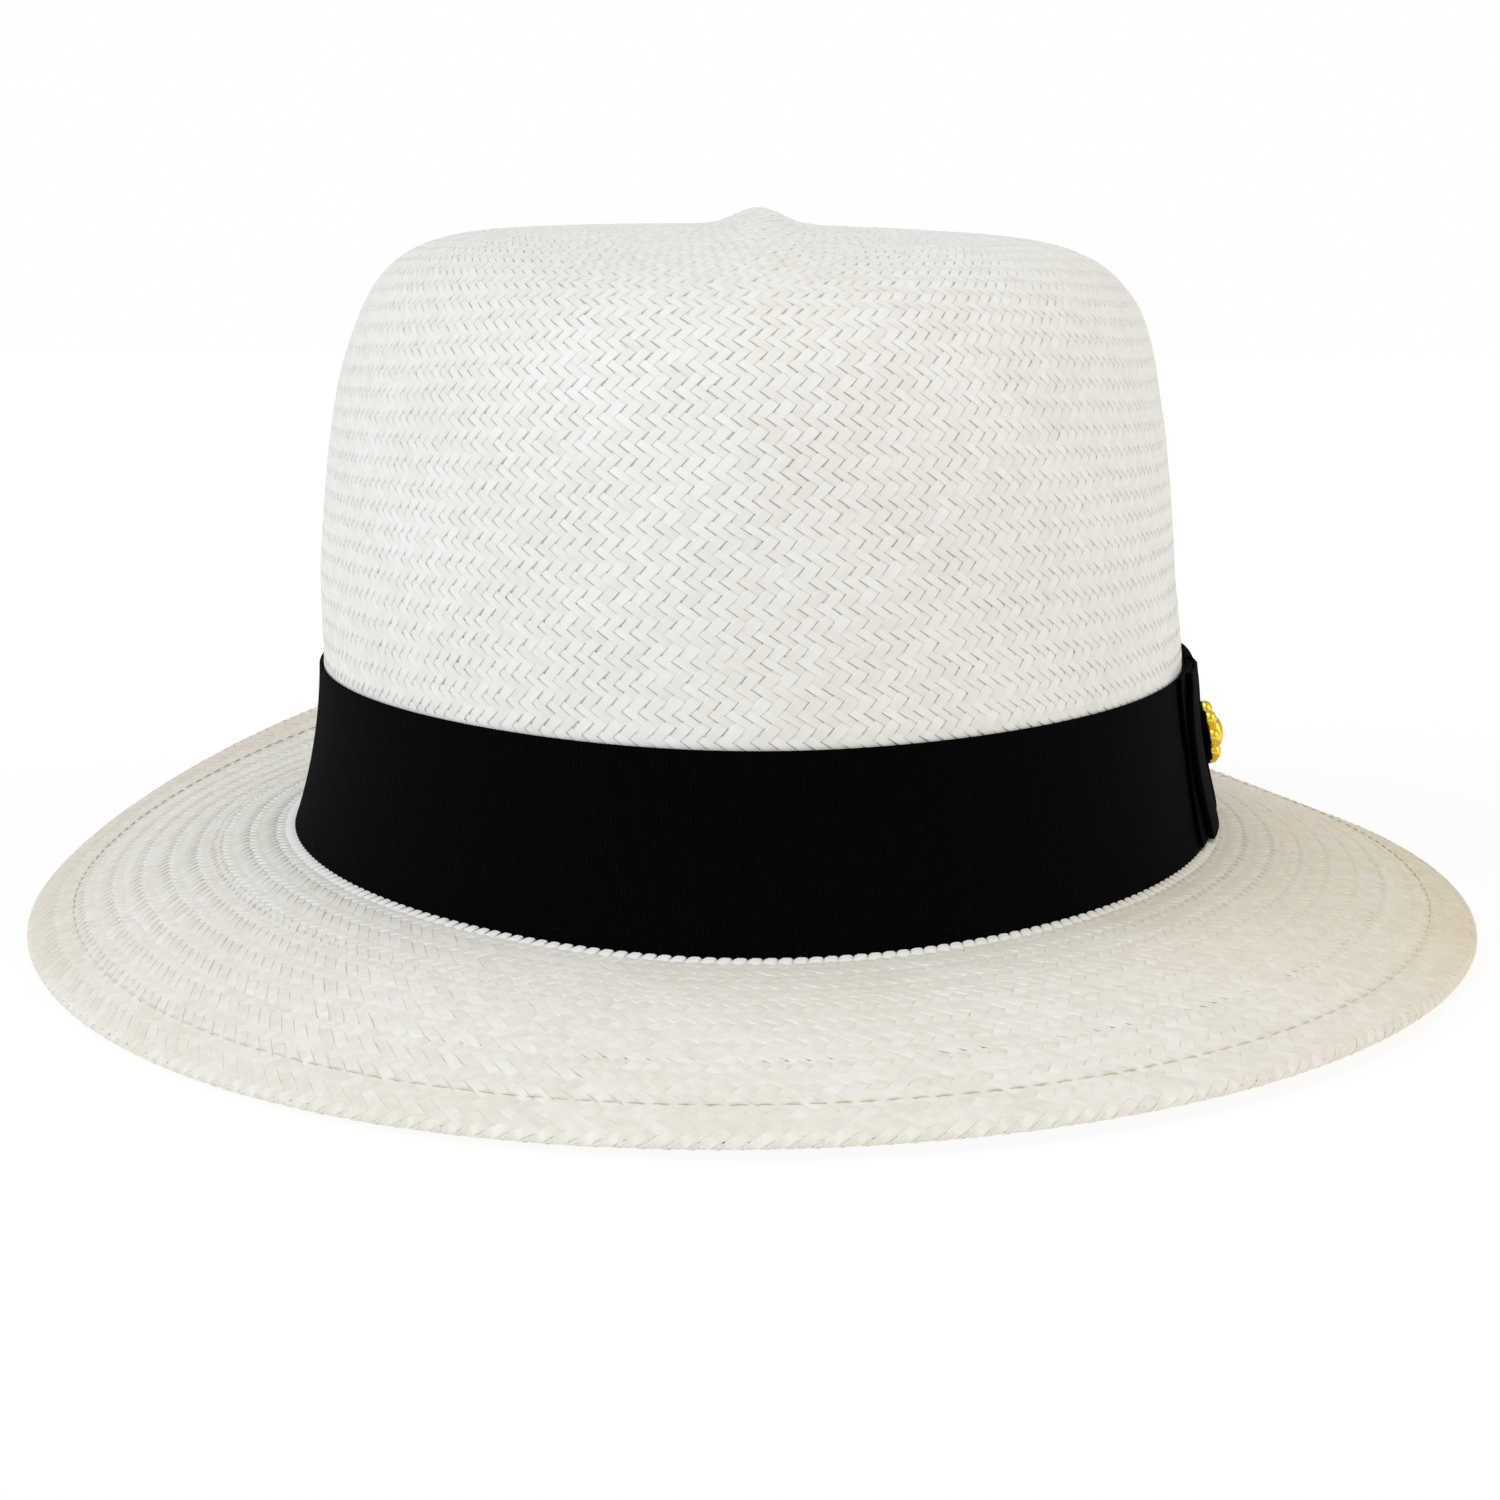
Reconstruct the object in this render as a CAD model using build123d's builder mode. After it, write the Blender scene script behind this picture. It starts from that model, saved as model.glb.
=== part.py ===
"""Woven straw hat with a ribbon band, a side bow with a pin, and a leather sweatband.

Frame: +Z up, -Y is the front of the hat, +X is the wearer's left.
The origin lies on the resting plane, under the middle of the brim.
"""
import os
from math import cos, degrees, pi, radians, sin, tau

from build123d import *

# Crown: half-axes of the straight wall, and how far the foot of the wall flares out
WALL_X = 87.5
WALL_Y = 103.0
FLARE_X = 5.5
FLARE_Y = 5.2
EGG = 0.10              # the oval is this much narrower at the front, wider at the back
STRAW = 1.0             # thickness of the weave
CROWN_H = 119.5         # break line to the top of the crown, beside the ridge
CORNER_POWER = 10.0     # squareness of the shoulder
TAPER_FRONT = 0.04
TAPER_SIDE = 0.082      # added to the front taper at the sides
DOME_Y = 9.3            # fall of the crown's top towards front and back
DOME_Y_SPAN = 80.0
DOME_X = 2.3            # fall of the crown's top towards the sides
DOME_X_SPAN = 62.0
RIDGE_H = 3.2
RIDGE_W = 11.0
RIDGE_SPAN = 92.0

# Brim
BREAK_Z = 14.5          # height of the break line between crown and brim
RIM_X = 142.0
RIM_Y = 165.0
RIM_DROP = 12.4         # how far the rim droops below the break line
RIM_SIDE_RISE = 2.0
RIM_LEFT_RISE = 2.7     # the rim droops less towards the front on the wearer's left
LEFT_RISE_ANGLE = -50.0
BACK_LIFT = 26.8        # how far the back of the rim is turned up
LIFT_ANGLE = 104.0      # degrees from +X to the middle of the turned-up part
LIFT_HALF = 85.0        # degrees to each side
HEM_WIDTH = 9.0         # the rim is folded under by this much
HEM_GAP = 0.5           # room for the wire between the two layers
HEM_DEPTH = HEM_GAP + STRAW
WIRE_INSET = 1.0
WIRE = 1.2
HEM_THREAD = 0.4        # the thread that sews the hem down
HEM_THREAD_INSET = 8.3
HEM_THREAD_LIFT = 0.55
SLACK = 0.05            # clearance between pieces that lie on each other

# Ribbon band and bow
BAND_LOW = 0.4
BAND_H = 33.0
BAND = 0.7
BAND_GAP = 0.1
BAND_TACKS = 8
TACK_HEIGHT = 1.5       # over the band's lower edge
TACK = (0.3, 2.0, 0.3)
TACK_OUTSET = 0.4
RIBBON = 0.55
RIBBON_SLACK = 0.12
TAIL_HALF = 33.0        # half-lengths of the bow's pieces along the wall
LOOP_HALF = 26.0
KNOT_HALF = 6.5
LOOP_GAP = 0.3
BOW_LOW = 0.8
BOW_HIGH = 33.6
KNOT_OVERHANG = 0.3     # the knot is this much taller than the bow, above and below
BOW_TACK = (0.3, 1.6, 0.3)
BOW_TACK_INSET = 3.0    # in from the tail's ends and edges

# Pin through the bow, square to the leaning wall; distances run outwards from the straw
PIN_HEIGHT = 16.4       # over the break line
PIN_R = 4.9
PIN_BASE = 4.5
PIN_T = 1.2
LOBE_R = 1.7
LOBES = 9
STEP_R = 3.9
STEP_T = 0.8
BEAD_R = 1.0
POST_R = 0.6
POST_IN = -3.6
POST_HOLE_R = 0.9
CLUTCH_R = 4.2
CLUTCH_IN = -3.8
CLUTCH_OUT = -2.0
CLUTCH_BORE_R = 0.66
DRILL_OVERSHOOT = 1.0

# Sweatband
LEATHER = 0.9
LEATHER_X = 83.9
LEATHER_Y = 99.8
LEATHER_FLARE = 6.5
LEATHER_LOW = 1.6
LEATHER_H = 34.0
REED_LOW = 0.1          # heights of the reed and the seam over the leather's lower edge
REED_H = 1.2
REED_OUT = 0.9
SEAM_LOW = 1.8
SEAM_H = 0.4
SEAM_GAP = 0.02
SEAM = 0.3
JOIN_HALF = 5.0         # the strip of leather behind the sweatband's join
JOIN_LOW = 2.0
JOIN_TOP_GAP = 1.0
JOIN_IN = 0.1
JOIN_OUT = 0.5
SMALL_BOW_HALF = 7.0
SMALL_BOW_GAP = 0.15
SMALL_BOW_LAYERS = [(7.0, 11.5, 1.0), (7.8, 10.7, 1.6)]     # low, high, depth inside the leather

OVAL_POINTS = 28
CROWN_LEVELS = [-1.0, 6, 14, 23, 33, 50, 68, 82, 93, 101, 107, 111, 114, 116.5, 118.3, 119.2]
SECTIONS = 12           # cuts through each half of the brim
RADIAL_STEPS = 5
BREAK_LAP = 0.6         # the brim reaches this far into the wall
LEVEL_STEP = 8.0        # most height between two sections of a ring on the wall
OVERSHOOT = 1.0         # how far a cutting shape passes the piece it cuts
TRIM_TOP = 60.0
RIDGE_CUTS = [-80, -60, -30, 0, 30, 60, 80]


def crown_point(level, angle, inset):
    """A point of the crown at a share of its height (0 to 1), as x, y, z over the break line."""
    taper = 1.0 - (TAPER_FRONT + TAPER_SIDE * cos(angle) ** 2) * level**2.5
    corner = (1.0 - level**CORNER_POWER) ** (1.0 / CORNER_POWER)
    flare = max(0.0, 1.0 - level * CROWN_H / BAND_H) ** 2
    x = (WALL_X + FLARE_X * flare - inset) * taper * corner * cos(angle) * (1.0 + EGG * sin(angle))
    y = (WALL_Y + FLARE_Y * flare - inset) * taper * corner * sin(angle)
    dome = DOME_Y * (y / DOME_Y_SPAN) ** 2 + DOME_X * (x / DOME_X_SPAN) ** 2
    return x, y, level * (CROWN_H - inset - dome)


def wall_point(z, angle, inset=0.0):
    """The crown's x, y at height z over the break line, found by halving."""
    low, high = 0.0, 1.0
    for _ in range(40):
        level = (low + high) / 2
        if crown_point(level, angle, inset)[2] < z:
            low = level
        else:
            high = level
    return crown_point(low, angle, inset)[:2]


def outline(z, inset=0.0):
    """Points of the crown's level line at height z over the break line, moved in by inset."""
    return [wall_point(z, tau * i / OVAL_POINTS, inset) for i in range(OVAL_POINTS)]


def leather_outline(z, inset=0.0):
    """Points of the sweatband's outer outline at height z over the break line."""
    flare = LEATHER_FLARE * max(0.0, 1.0 - z / LEATHER_H) ** 4
    points = []
    for i in range(OVAL_POINTS):
        angle = tau * i / OVAL_POINTS
        x = (LEATHER_X + flare - inset) * cos(angle) * (1.0 + EGG * sin(angle))
        points.append((x, (LEATHER_Y + flare - inset) * sin(angle)))
    return points


def section(z, shape, inset):
    """One closed section of shape at height z over the break line."""
    with BuildSketch(Plane.XY.offset(BREAK_Z + z)) as oval:
        with BuildLine():
            Spline(*shape(z, inset), periodic=True)
        make_face()
    return oval.sketch


def loft_levels(levels, shape, inset, mode=Mode.ADD):
    """Loft closed sections of shape through the levels, in the part being built."""
    loft([section(z, shape, inset) for z in levels], mode=mode)


def wall_ring(low, high, outer, inner, shape=outline):
    """A ring that follows the wall between two heights and two insets."""
    steps = max(2, round((high - low) / LEVEL_STEP) + 1)
    levels = [low + (high - low) * i / (steps - 1) for i in range(steps)]
    loft_levels(levels, shape, outer)
    taller = [low - OVERSHOOT, *levels[1:-1], high + OVERSHOOT]
    loft_levels(taller, shape, inner, mode=Mode.SUBTRACT)


def brim_ray(angle):
    """The straight plan line across the brim at an angle: its start, direction and length."""
    start = Vector(
        (WALL_X + FLARE_X) * cos(angle) * (1.0 + EGG * sin(angle)),
        (WALL_Y + FLARE_Y) * sin(angle),
    )
    end = Vector(RIM_X * cos(angle), RIM_Y * sin(angle))
    return start, (end - start).normalized(), (end - start).length


def brim_height(angle, out):
    """Height of the brim's upper face over the break line, out from the crown (0) to the rim (1)."""
    turn = abs((angle - radians(LIFT_ANGLE) + pi) % tau - pi) / radians(LIFT_HALF)
    lift = BACK_LIFT * cos(min(turn, 1.0) * pi / 2) ** 2
    left = RIM_LEFT_RISE * max(0.0, cos(angle - radians(LEFT_RISE_ANGLE))) ** 2
    droop = RIM_DROP - RIM_SIDE_RISE * cos(angle) ** 4 - left
    out = max(out, 0.0)
    return lift * out**2.2 - droop * out**1.5


def brim_section(angle, outer_inset, width, drop, thickness, hem):
    """A cut through a layer of the brim, in the upright plane across it at an angle."""
    start, direction, length = brim_ray(angle)
    outer = length - outer_inset
    inner = -BREAK_LAP if width is None else outer - width
    plane = Plane(start + Vector(0, 0, BREAK_Z), x_dir=direction, z_dir=direction.cross(Vector(0, 0, 1)))
    upper = []
    lower = []
    for i in range(RADIAL_STEPS + 1):
        across = inner + (outer - inner) * i / RADIAL_STEPS
        upper.append((across, brim_height(angle, across / length) - drop))
        across = min(across, inner + (outer - hem - inner) * i / RADIAL_STEPS)
        lower.append((across, brim_height(angle, across / length) - drop - thickness))
    with BuildSketch(plane) as cut:
        with BuildLine():
            Spline(*upper)
            if hem:
                hem_edge = brim_height(angle, (outer - hem) / length) - drop - thickness - HEM_DEPTH
                rim_edge = upper[-1][1] - thickness - HEM_DEPTH
                Polyline(upper[-1], (outer, rim_edge), (outer - hem, hem_edge), lower[-1])
            else:
                Line(upper[-1], lower[-1])
            Spline(*lower[::-1])
            Line(lower[0], upper[0])
        make_face()
    return cut.sketch


def brim_layer(outer_inset, width, drop, thickness, hem=0.0, mode=Mode.ADD):
    """A layer that follows the brim, in two halves, from an inset of the rim inwards.

    A width of None runs in to the crown. A hem folds this much of the edge under.
    """
    for first in (0, SECTIONS):
        angles = [pi * i / SECTIONS for i in range(first, first + SECTIONS + 1)]
        cuts = [brim_section(angle, outer_inset, width, drop, thickness, hem) for angle in angles]
        loft(cuts, mode=mode)


def box_between(low, high, mode=Mode.ADD):
    """A box between two corners, in the part being built."""
    middle = tuple((a + b) / 2 for a, b in zip(low, high))
    with Locations(middle):
        Box(*(b - a for a, b in zip(low, high)), mode=mode)


def keep_side(half_length):
    """Trim the part being built to the wearer's left, this far each way from the middle."""
    box_between((0, -half_length, 0), (RIM_X, half_length, BREAK_Z + TRIM_TOP), Mode.INTERSECT)


def keep_back(half_width):
    """Trim the part being built to the back, this far each way from the middle."""
    box_between((-half_width, 0, 0), (half_width, RIM_Y, BREAK_Z + TRIM_TOP), Mode.INTERSECT)


def pin_plane(distance):
    """The plane square to the pin, this far out from the straw's outer face."""
    wall_x = wall_point(PIN_HEIGHT, 0.0)[0]
    lean = wall_point(PIN_HEIGHT - 1, 0.0)[0] - wall_point(PIN_HEIGHT + 1, 0.0)[0]
    axis = Vector(2.0, 0, lean).normalized()
    return Plane(Vector(wall_x, 0, BREAK_Z + PIN_HEIGHT) + axis * distance, x_dir=(0, 1, 0), z_dir=axis)


def disc(distance, radius, thickness, mode=Mode.ADD):
    """A round plate on the pin's axis, in the part being built."""
    with BuildSketch(pin_plane(distance)) as circle:
        Circle(radius)
    extrude(circle.sketch, amount=thickness, mode=mode)


def drill_for_post():
    """Cut the pin's hole through the part being built."""
    depth = PIN_BASE - CLUTCH_OUT + 2 * DRILL_OVERSHOOT
    disc(CLUTCH_OUT - DRILL_OVERSHOOT, POST_HOLE_R, depth, Mode.SUBTRACT)


def tack(size, angle, height, outset):
    """A short thread lying on the ribbon, in the part being built."""
    x, y = wall_point(height, angle, -outset)
    with Locations(Location((x, y, BREAK_Z + height), (0, 0, degrees(angle)))):
        Box(*size)


def save(part, name):
    """Label a finished part and write it."""
    part.label = name
    export_step(part, f"parts/{name}.step")


os.makedirs("parts", exist_ok=True)

# Woven straw: crown, brim and folded hem in one piece
with BuildPart() as crown:
    loft_levels(CROWN_LEVELS, outline, 0.0)
    loft_levels([-2 * STRAW, *CROWN_LEVELS[1:-1], CROWN_H - 2 * STRAW], outline, STRAW, mode=Mode.SUBTRACT)

with BuildPart() as ridge:
    ridge_cuts = []
    for y in RIDGE_CUTS:
        foot = CROWN_H - DOME_Y * (y / DOME_Y_SPAN) ** 2 - STRAW / 2
        top = foot + STRAW / 2 + RIDGE_H * cos(y / RIDGE_SPAN * pi / 2)
        with BuildSketch(Plane.XZ.offset(-y)) as cut:
            with BuildLine():
                ThreePointArc((-RIDGE_W, BREAK_Z + foot), (0, BREAK_Z + top), (RIDGE_W, BREAK_Z + foot))
                Line((RIDGE_W, BREAK_Z + foot), (-RIDGE_W, BREAK_Z + foot))
            make_face()
        ridge_cuts.append(cut.sketch)
    loft(ridge_cuts)

with BuildPart() as brim:
    brim_layer(0.0, None, 0.0, STRAW, hem=HEM_WIDTH)
    brim_layer(WIRE_INSET, WIRE, STRAW, HEM_GAP, mode=Mode.SUBTRACT)

with BuildPart() as straw_body:
    add(crown.part)
    add(brim.part)
    add(ridge.part)
    drill_for_post()
save(straw_body.part, "straw_body")

with BuildPart() as brim_wire:
    brim_layer(WIRE_INSET + SLACK, WIRE - 2 * SLACK, STRAW + SLACK, HEM_GAP - 2 * SLACK)
save(brim_wire.part, "brim_wire")

with BuildPart() as brim_stitching:
    brim_layer(HEM_THREAD_INSET, HEM_THREAD, -HEM_THREAD_LIFT, HEM_THREAD)
save(brim_stitching.part, "brim_stitching")

# Ribbon band round the foot of the crown
band_in = -BAND_GAP
band_out = band_in - BAND
with BuildPart() as hat_band:
    wall_ring(BAND_LOW, BAND_H, band_out, band_in)
    drill_for_post()
save(hat_band.part, "hat_band")

with BuildPart() as band_stitches:
    for i in range(BAND_TACKS):
        tack(TACK, tau * (i + 0.5) / BAND_TACKS, BAND_LOW + TACK_HEIGHT, TACK_OUTSET - band_out)
save(band_stitches.part, "band_stitches")

# Flat bow on the wearer's left: a tail lies on the band, a loop on the tail, a knot over both
tail_in = band_out - RIBBON_SLACK
tail_out = tail_in - RIBBON
with BuildPart() as bow_tail:
    wall_ring(BOW_LOW, BOW_HIGH, tail_out, tail_in)
    keep_side(TAIL_HALF)
    drill_for_post()
save(bow_tail.part, "bow_tail")

loop_in = tail_out - RIBBON_SLACK
loop_out = loop_in - 2 * RIBBON - LOOP_GAP
with BuildPart() as loop_room:
    wall_ring(BOW_LOW - OVERSHOOT, BOW_HIGH + OVERSHOOT, loop_out + RIBBON, loop_in - RIBBON)
    keep_side(LOOP_HALF - RIBBON)
with BuildPart() as bow_loop:
    wall_ring(BOW_LOW, BOW_HIGH, loop_out, loop_in)
    keep_side(LOOP_HALF)
    add(loop_room.part, mode=Mode.SUBTRACT)
    drill_for_post()
save(bow_loop.part, "bow_loop")

knot_in = loop_out - RIBBON_SLACK
with BuildPart() as bow_knot:
    wall_ring(BOW_LOW - KNOT_OVERHANG, BOW_HIGH + KNOT_OVERHANG, knot_in - RIBBON, knot_in)
    keep_side(KNOT_HALF)
    drill_for_post()
save(bow_knot.part, "bow_knot")

with BuildPart() as bow_stitches:
    turn = (TAIL_HALF - BOW_TACK_INSET) / (WALL_Y + FLARE_Y)
    for angle in (-turn, turn):
        for height in (BOW_LOW + BOW_TACK_INSET, BOW_HIGH - BOW_TACK_INSET):
            tack(BOW_TACK, angle, height, TACK_OUTSET - tail_out)
save(bow_stitches.part, "bow_stitches")

# Pin: a scalloped rosette on a post, held inside the crown by a round clutch
with BuildPart() as pin_ornament:
    disc(PIN_BASE, PIN_R, PIN_T)
    with BuildSketch(pin_plane(PIN_BASE)) as lobes:
        with PolarLocations(PIN_R, LOBES):
            Circle(LOBE_R)
    extrude(lobes.sketch, amount=PIN_T)
    disc(PIN_BASE + PIN_T, STEP_R, STEP_T)
    with Locations(pin_plane(PIN_BASE + PIN_T + STEP_T)):
        Sphere(BEAD_R)
save(pin_ornament.part, "pin_ornament")

with BuildPart() as pin_post:
    disc(POST_IN, POST_R, PIN_BASE - POST_IN)
save(pin_post.part, "pin_post")

with BuildPart() as pin_clutch:
    disc(CLUTCH_IN, CLUTCH_R, CLUTCH_OUT - CLUTCH_IN)
    bore_depth = CLUTCH_OUT - CLUTCH_IN + 2 * DRILL_OVERSHOOT
    disc(CLUTCH_IN - DRILL_OVERSHOOT, CLUTCH_BORE_R, bore_depth, Mode.SUBTRACT)
save(pin_clutch.part, "pin_clutch")

# Leather sweatband, sewn to the straw through a reed at its lower edge
with BuildPart() as sweatband:
    wall_ring(LEATHER_LOW, LEATHER_H, 0.0, LEATHER, leather_outline)
save(sweatband.part, "sweatband")

reed_low = LEATHER_LOW + REED_LOW
with BuildPart() as sweatband_reed:
    wall_ring(reed_low, reed_low + REED_H, -REED_OUT, -SLACK, leather_outline)
save(sweatband_reed.part, "sweatband_reed")

seam_low = LEATHER_LOW + SEAM_LOW
seam_out = LEATHER + SEAM_GAP
with BuildPart() as sweatband_stitching:
    wall_ring(seam_low, seam_low + SEAM_H, seam_out, seam_out + SEAM, leather_outline)
save(sweatband_stitching.part, "sweatband_stitching")

with BuildPart() as sweatband_join:
    wall_ring(LEATHER_LOW + JOIN_LOW, LEATHER_H - JOIN_TOP_GAP, -JOIN_OUT, -JOIN_IN, leather_outline)
    keep_back(JOIN_HALF)
save(sweatband_join.part, "sweatband_join")

with BuildPart() as sweatband_bow:
    for low, high, depth in SMALL_BOW_LAYERS:
        wall_ring(low, high, LEATHER + SMALL_BOW_GAP, LEATHER + depth, leather_outline)
    keep_back(SMALL_BOW_HALF)
save(sweatband_bow.part, "sweatband_bow")
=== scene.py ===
from math import pi, radians, tau

import bpy
import numpy as np
from mathutils import Matrix, Vector


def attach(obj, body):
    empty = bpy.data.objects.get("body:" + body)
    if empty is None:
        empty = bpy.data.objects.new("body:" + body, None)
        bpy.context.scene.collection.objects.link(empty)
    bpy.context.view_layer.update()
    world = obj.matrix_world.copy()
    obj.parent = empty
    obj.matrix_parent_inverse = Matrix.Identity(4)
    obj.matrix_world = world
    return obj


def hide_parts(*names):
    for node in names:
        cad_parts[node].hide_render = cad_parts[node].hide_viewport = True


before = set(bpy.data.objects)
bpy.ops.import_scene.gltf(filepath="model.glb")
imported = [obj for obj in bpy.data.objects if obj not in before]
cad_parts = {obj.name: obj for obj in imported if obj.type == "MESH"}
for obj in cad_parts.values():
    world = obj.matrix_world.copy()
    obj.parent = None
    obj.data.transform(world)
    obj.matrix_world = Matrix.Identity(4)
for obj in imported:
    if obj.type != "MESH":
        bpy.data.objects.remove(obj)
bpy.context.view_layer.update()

# Sizes are in millimetres, heights over the break line between crown and brim; meshes are made in metres.
MM = 0.001
BREAK_Z = 14.5

# Crown and brim, as in the CAD source but for the rim's rise on the wearer's left, 2.7 at -50 degrees there
WALL_X, WALL_Y = 87.5, 103.0
FLARE_X, FLARE_Y = 5.5, 5.2
EGG = 0.10
CROWN_H = 119.5
CORNER_POWER = 10.0
TAPER_FRONT, TAPER_SIDE = 0.04, 0.082
DOME_Y, DOME_Y_SPAN = 9.3, 80.0
DOME_X, DOME_X_SPAN = 2.3, 62.0
RIDGE_H, RIDGE_SPAN = 3.2, 92.0
RIM_X, RIM_Y = 142.0, 165.0
RIM_DROP, RIM_SIDE_RISE = 12.4, 2.0
RIM_LEFT_RISE, LEFT_RISE_ANGLE = 2.5, -57.0
BACK_LIFT, LIFT_ANGLE, LIFT_HALF = 26.8, 104.0, 85.0
BAND_H = 33.0
STRAW_MIDDLE = 0.48     # depth of the weave's middle surface under the straw's outer face

# Weave
WALL_TOP = 55.0         # rings are level below this height
WALL_ROWS = 51
TOP_ROWS = 132
BRIM_ROWS = 38
EDGE_ROWS, EDGE_R = 3, 0.7
HEM_ROWS, HEM_WIDTH = 5, 7.0
CROWN_STRAWS = 208
SLANT = {"a": 3, "b": -2}   # how far each family of straws goes round in half a row, in tenths of its spacing
CROWN_WAVE = 0.22       # how far a straw rises and dips
BRIM_WAVE = 0.15
BRIM_BIAS = 0.3         # how much longer the straws that run out to the right stay on top of the brim
HEM_WAVE = 0.08         # where the folded rim is pressed flat
STRAW_HALF = 0.20       # half the thickness of one straw
FILL = 1.0              # width of a straw as a share of the room it has

FRONT_DIP = 0.7         # the break line sinks this much at the front
DIP_WIDTH, DIP_REACH = 28.0, 16.0   # degrees to each side, and out across the brim

# Ribbon: distances of its layers out from the straw
BAND_FOOT = -0.25
BAND_IN, BAND_OUT = 0.1, 0.8
TAIL_IN, TAIL_OUT = 0.92, 1.42
LOOP_IN, LOOP_OUT, LOOP_THICK = 1.58, 2.96, 0.5
KNOT_OUT, KNOT_THICK = 3.62, 0.5

# Smaller pieces
BREAK_LOOPS = 262       # loops of straw along the break line
BREAK_LENGTH = 646.0    # the way round the break line
HEM_STITCHES = 226
STITCH_INSET = 8.45     # of the hem's stitches from the rim
GROOVE_DEPTH, GROOVE_INSET, GROOVE_WIDTH = 0.22, 8.4, 0.9   # the dent that the stitches pull into the brim
WIRE_INSET, WIRE_R = 1.75, 0.16
TAIL_HALF, TAIL_NOTCH = 33.0, 5.0
LOOP_HALF = 25.3
KNOT_HALF, KNOT_PINCH = 6.3, 0.9
BACK_R = 84.0           # curve of the sweatband at the back
BAND_COUNT, LEATHER_COUNT, WIRE_COUNT = 480, 420, 360       # points round each ring

# Camera, in metres and degrees
CAMERA_PLACE = (-0.0005, -0.474, 0.1165)
CAMERA_DOWN, CAMERA_ROLL = 10.62, 0.2
CAMERA_LENS, SENSOR_WIDTH = 56.3, 36.0

UP = np.array([0.0, 0.0, 1.0])
BACKWARD = np.array([0.0, 1.0, 0.0])
LEVEL = np.array([1.0, 1.0, 0.0])

rng = np.random.default_rng(7)


def smooth(x):
    """0 below 0, 1 above 1, and a smooth step between."""
    x = np.clip(x, 0.0, 1.0)
    return x * x * (3 - 2 * x)


def unit(v):
    return v / np.maximum(np.linalg.norm(v, axis=-1, keepdims=True), 1e-12)


def stack(x, y, z):
    return np.stack(np.broadcast_arrays(x, y, z), axis=-1)


# ---------------------------------------------------------------- surfaces


def crown_point(level, corner, angle, inset):
    """The crown at a share of its height (0 to 1) and of its corner rounding, as x, y and height."""
    rise = np.maximum(level, 0.0)
    taper = 1.0 - (TAPER_FRONT + TAPER_SIDE * np.cos(angle) ** 2) * rise**2.5
    flare = np.maximum(0.0, 1.0 - level * CROWN_H / BAND_H) ** 2
    x = (WALL_X + FLARE_X * flare - inset) * taper * corner * np.cos(angle) * (1.0 + EGG * np.sin(angle))
    y = (WALL_Y + FLARE_Y * flare - inset) * taper * corner * np.sin(angle)
    dome = DOME_Y * (y / DOME_Y_SPAN) ** 2 + DOME_X * (x / DOME_X_SPAN) ** 2
    return x, y, level * (CROWN_H - inset - dome)


def wall(z, angle, inset):
    """Points of the wall at heights z, moved in by inset."""
    z, angle, inset = np.broadcast_arrays(*(np.asarray(a, float) for a in (z, angle, inset)))
    level = z / CROWN_H
    for _ in range(12):
        corner = (1.0 - np.maximum(level, 0.0) ** CORNER_POWER) ** (1.0 / CORNER_POWER)
        x, y, height = crown_point(level, corner, angle, inset)
        level = level + (z - height) / CROWN_H
    return stack(x, y, z)


def brim_height(angle, out):
    """Height of the brim's upper face, out from the crown (0) to the rim (1).

    At the wearer's left it hangs up to 2 mm lower than the CAD source's.
    """
    turn = np.abs((angle - radians(LIFT_ANGLE) + pi) % tau - pi) / radians(LIFT_HALF)
    lift = BACK_LIFT * np.cos(np.minimum(turn, 1.0) * pi / 2) ** 2
    left = RIM_LEFT_RISE * np.maximum(0.0, np.cos(angle - radians(LEFT_RISE_ANGLE))) ** 2
    side = RIM_SIDE_RISE * np.cos(angle) ** 4 * (0.6 - 0.4 * np.cos(angle))
    droop = RIM_DROP - side - left
    out = np.maximum(out, 0.0)
    return lift * out**2.2 - droop * out**1.5


def brim_point(angle, inset, drop):
    """A point of the brim at a distance in from the rim and a depth under its upper face."""
    start = stack((WALL_X + FLARE_X) * np.cos(angle) * (1 + EGG * np.sin(angle)),
                  (WALL_Y + FLARE_Y) * np.sin(angle), 0.0)
    end = stack(RIM_X * np.cos(angle), RIM_Y * np.sin(angle), 0.0)
    length = np.linalg.norm(end - start, axis=-1)
    out = 1.0 - inset / length
    point = start + (end - start) * out[..., None]
    point[..., 2] = brim_height(angle, np.minimum(out, 1.0)) - drop
    return point, length


def front_dip(angle):
    """How far the break line and the ribbon sink at the front."""
    turn = (angle + pi / 2 + pi) % tau - pi
    return FRONT_DIP * np.exp(-((turn / radians(DIP_WIDTH)) ** 2))


def band_wall(z, angle, inset):
    """Points over the wall for the ribbon, which dips at the front."""
    return wall(z - front_dip(angle), angle, inset)


def leather(z, angle, inset):
    """Points of the sweatband at heights z."""
    flare = 6.5 * np.maximum(0.0, 1.0 - z / 34.0) ** 4
    x = (83.9 + flare - inset) * np.cos(angle) * (1.0 + EGG * np.sin(angle))
    return stack(x, (99.8 + flare - inset) * np.sin(angle), z)


def even_angles(count):
    """Angles that divide the crown's outline into equal lengths."""
    dense = np.linspace(0.0, tau, 4001)
    outline = wall(BAND_H, dense, 0.0)
    length = np.append(0.0, np.cumsum(np.linalg.norm(np.diff(outline, axis=0), axis=1)))
    return np.interp(np.arange(count) / count * length[-1], length, dense)


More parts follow.
